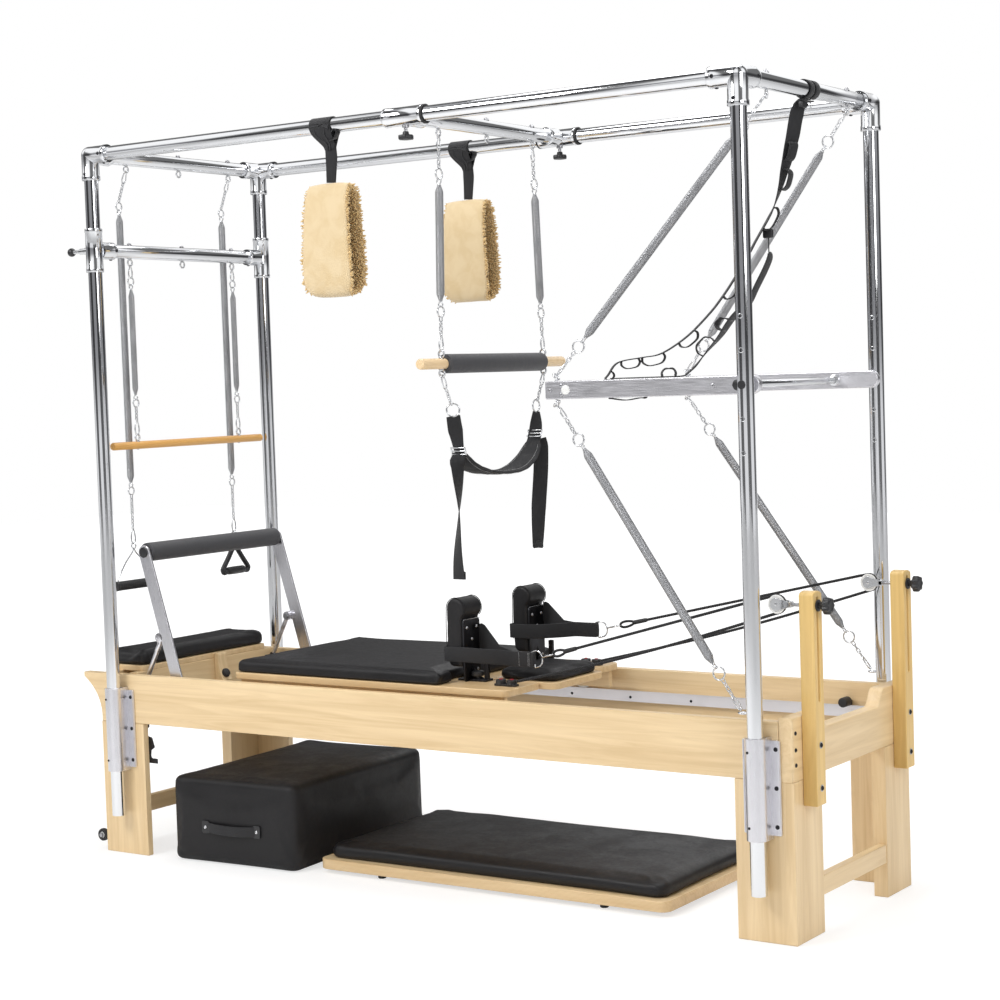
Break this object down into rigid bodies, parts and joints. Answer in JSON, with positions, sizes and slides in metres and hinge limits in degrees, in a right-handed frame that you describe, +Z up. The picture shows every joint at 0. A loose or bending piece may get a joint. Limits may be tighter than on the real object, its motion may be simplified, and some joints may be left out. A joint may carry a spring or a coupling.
{
  "type": "pilates reformer with trapeze frame",
  "caption": "Wooden pilates bed with a sliding sprung carriage and footbar under a chromed tube frame that carries a push-through bar, a trapeze, springs, loops and straps.",
  "frame": {"origin": "on the floor, below the middle of the table", "axes": "+X along the bed towards the head end with the pulleys, +Y across it to the back, +Z up"},
  "size_m": [2.536, 0.8628, 2.178],
  "materials": {
    "maple": "satin lacquer",
    "yellow_maple": "satin lacquer",
    "chrome": "polished",
    "aluminium": "satin anodised",
    "steel": "bright spring steel",
    "black_plastic": "fine texture",
    "vinyl": "grained vinyl",
    "foam": "soft foam skin",
    "webbing": "woven nylon",
    "rope": "braided",
    "sheepskin": "fleece",
    "roll_wood": "lacquered"
  },
  "bodies": {
    "bed": {"front_rail": "maple", "back_rail": "maple", "head_end_frame": "maple", "foot_end_frame": "maple", "front_riser_post": "yellow_maple", "back_riser_post": "yellow_maple", "foot_platform_pad": "vinyl", "front_head_upright": "chrome", "back_head_upright": "chrome", "front_foot_upright": "chrome", "back_foot_upright": "chrome", "front_top_rail": "chrome", "back_top_rail": "chrome", "head_top_bar": "chrome", "foot_top_bar": "chrome", "front_head_clamp": "aluminium", "back_head_clamp": "aluminium", "front_foot_clamp": "aluminium", "back_foot_clamp": "aluminium", "carriage_springs": "steel", "ladder_strap": "webbing", "front_upper_push_spring": "steel", "back_upper_push_spring": "steel", "front_lower_push_spring": "steel", "back_lower_push_spring": "steel"},
    "carriage": {"carriage_frame": "maple", "carriage_cushion": "vinyl", "front_shoulder_rest": "vinyl", "back_shoulder_rest": "vinyl", "front_rope": "rope", "back_rope": "rope"},
    "headrest": {"headrest": "vinyl"},
    "front_wheel": {"front_transport_wheel": "black_plastic"},
    "back_wheel": {"back_transport_wheel": "black_plastic"},
    "front_riser": {"front_riser_block": "black_plastic"},
    "back_riser": {"back_riser_block": "black_plastic"},
    "front_pulley_wheel": {"front_pulley": "black_plastic"},
    "back_pulley_wheel": {"back_pulley": "black_plastic"},
    "footbar": {"footbar_frame": "aluminium", "footbar_grip": "foam"},
    "front_strut": {"front_footbar_strut": "steel"},
    "back_strut": {"back_footbar_strut": "steel"},
    "push_bar": {"push_through_bar": "aluminium"},
    "crossbar": {"sliding_crossbar": "chrome"},
    "roll_down_hanger": {"front_roll_down_spring": "steel", "back_roll_down_spring": "steel"},
    "roll_down": {"roll_down_bar": "roll_wood"},
    "slider": {"trapeze_slider": "chrome"},
    "trapeze_hanger": {"front_trapeze_spring": "steel", "back_trapeze_spring": "steel"},
    "trapeze": {"trapeze_bar": "foam"},
    "sling": {"trapeze_sling": "webbing"},
    "front_loop": {"front_sheepskin_loop": "sheepskin"},
    "back_loop": {"back_sheepskin_loop": "sheepskin"},
    "front_handle_hanger": {"front_handle_spring": "steel"},
    "back_handle_hanger": {"back_handle_spring": "steel"},
    "front_grip": {"front_handle": "foam"},
    "back_grip": {"back_handle": "black_plastic"},
    "box": {"sitting_box": "vinyl"},
    "board": {"padded_board": "vinyl"}
  },
  "joints": [
    {"name": "carriage_slide", "type": "slide", "parent": "bed", "child": "carriage", "axis": [1, 0, 0], "range_m": [0, 0.73], "stiffness_N_per_m": 150, "springref_m": -0.2, "deforming": ["front_rope", "back_rope", "carriage_springs"]},
    {"name": "headrest_tilt", "type": "hinge", "parent": "carriage", "child": "headrest", "pos_m": [0.138, 0, 0.582], "axis": [0, 1, 0], "range_deg": [-35, 0]},
    {"name": "front_wheel_spin", "type": "hinge", "parent": "bed", "child": "front_wheel", "pos_m": [-1.2225, -0.3405, 0.046], "axis": [0, 1, 0], "continuous": true},
    {"name": "back_wheel_spin", "type": "hinge", "parent": "bed", "child": "back_wheel", "pos_m": [-1.2225, 0.3405, 0.046], "axis": [0, 1, 0], "continuous": true},
    {"name": "front_riser_slide", "type": "slide", "parent": "bed", "child": "front_riser", "axis": [0, 0, 1], "range_m": [-0.22, 0], "deforming": ["front_rope"]},
    {"name": "front_pulley_spin", "type": "hinge", "parent": "front_riser", "child": "front_pulley_wheel", "pos_m": [1.12, -0.275, 0.845], "axis": [0, 1, 0], "continuous": true},
    {"name": "back_riser_slide", "type": "slide", "parent": "bed", "child": "back_riser", "axis": [0, 0, 1], "range_m": [-0.22, 0], "deforming": ["back_rope"]},
    {"name": "back_pulley_spin", "type": "hinge", "parent": "back_riser", "child": "back_pulley_wheel", "pos_m": [1.12, 0.275, 0.845], "axis": [0, 1, 0], "continuous": true},
    {"name": "footbar_hinge", "type": "hinge", "parent": "bed", "child": "footbar", "pos_m": [-0.9, 0, 0.52], "axis": [0, 1, 0], "range_deg": [0, 60]},
    {"name": "front_strut_hinge", "type": "hinge", "parent": "footbar", "child": "front_strut", "pos_m": [-0.9771, -0.2972, 0.6737], "axis": [0, 1, 0], "range_deg": [-85, 0]},
    {"name": "back_strut_hinge", "type": "hinge", "parent": "footbar", "child": "back_strut", "pos_m": [-0.9771, 0.2972, 0.6737], "axis": [0, 1, 0], "range_deg": [-85, 0]},
    {"name": "push_bar_hinge", "type": "hinge", "parent": "bed", "child": "push_bar", "pos_m": [1.105, 0, 1.397], "axis": [0, 1, 0], "range_deg": [-55, 75], "stiffness_Nm_per_rad": 60, "springref_deg": 11.46, "deforming": ["front_upper_push_spring", "back_upper_push_spring", "front_lower_push_spring", "back_lower_push_spring", "ladder_strap"]},
    {"name": "crossbar_slide", "type": "slide", "parent": "bed", "child": "crossbar", "axis": [0, 0, 1], "range_m": [-0.45, 0.08]},
    {"name": "roll_down_swing", "type": "hinge", "parent": "crossbar", "child": "roll_down_hanger", "pos_m": [-1.105, 0, 1.8302], "axis": [0, 1, 0], "range_deg": [-75, 1]},
    {"name": "roll_down_pull", "type": "slide", "parent": "roll_down_hanger", "child": "roll_down", "axis": [0, 0, -1], "range_m": [0, 0.3], "stiffness_N_per_m": 400, "springref_m": -0.05, "deforming": ["front_roll_down_spring", "back_roll_down_spring"]},
    {"name": "slider_slide", "type": "slide", "parent": "bed", "child": "slider", "axis": [1, 0, 0], "range_m": [-0.12, 0.25]},
    {"name": "trapeze_swing", "type": "hinge", "parent": "slider", "child": "trapeze_hanger", "pos_m": [0.093, 0, 2.1172], "axis": [0, 1, 0], "range_deg": [-24, 60]},
    {"name": "trapeze_pull", "type": "slide", "parent": "trapeze_hanger", "child": "trapeze", "axis": [0, 0, -1], "range_m": [0, 0.035], "stiffness_N_per_m": 500, "springref_m": -0.12, "deforming": ["front_trapeze_spring", "back_trapeze_spring"]},
    {"name": "sling_swing", "type": "hinge", "parent": "trapeze", "child": "sling", "pos_m": [0.093, 0, 1.4522], "axis": [0, 1, 0], "range_deg": [-70, 70]},
    {"name": "front_loop_swing", "type": "hinge", "parent": "bed", "child": "front_loop", "pos_m": [-0.172, -0.385, 2.15], "axis": [1, 0, 0], "range_deg": [-80, 80]},
    {"name": "back_loop_swing", "type": "hinge", "parent": "bed", "child": "back_loop", "pos_m": [-0.25, 0.385, 2.15], "axis": [1, 0, 0], "range_deg": [-80, 80]},
    {"name": "front_handle_swing", "type": "hinge", "parent": "bed", "child": "front_handle_hanger", "pos_m": [-1.105, -0.235, 2.1172], "axis": [0, 1, 0], "range_deg": [0, 60]},
    {"name": "front_handle_pull", "type": "slide", "parent": "front_handle_hanger", "child": "front_grip", "axis": [0, 0, -1], "range_m": [0, 0.17], "stiffness_N_per_m": 200, "springref_m": -0.06, "deforming": ["front_handle_spring"]},
    {"name": "back_handle_swing", "type": "hinge", "parent": "bed", "child": "back_handle_hanger", "pos_m": [-1.105, 0.235, 2.1172], "axis": [0, 1, 0], "range_deg": [0, 60]},
    {"name": "back_handle_pull", "type": "slide", "parent": "back_handle_hanger", "child": "back_grip", "axis": [0, 0, -1], "range_m": [0, 0.17], "stiffness_N_per_m": 200, "springref_m": -0.06, "deforming": ["back_handle_spring"]},
    {"name": "box_pull_out", "type": "slide", "parent": "bed", "child": "box", "axis": [0, -1, 0], "range_m": [0, 0.8]},
    {"name": "board_pull_out", "type": "slide", "parent": "bed", "child": "board", "axis": [0, -1, 0], "range_m": [0, 0.8]}
  ]
}
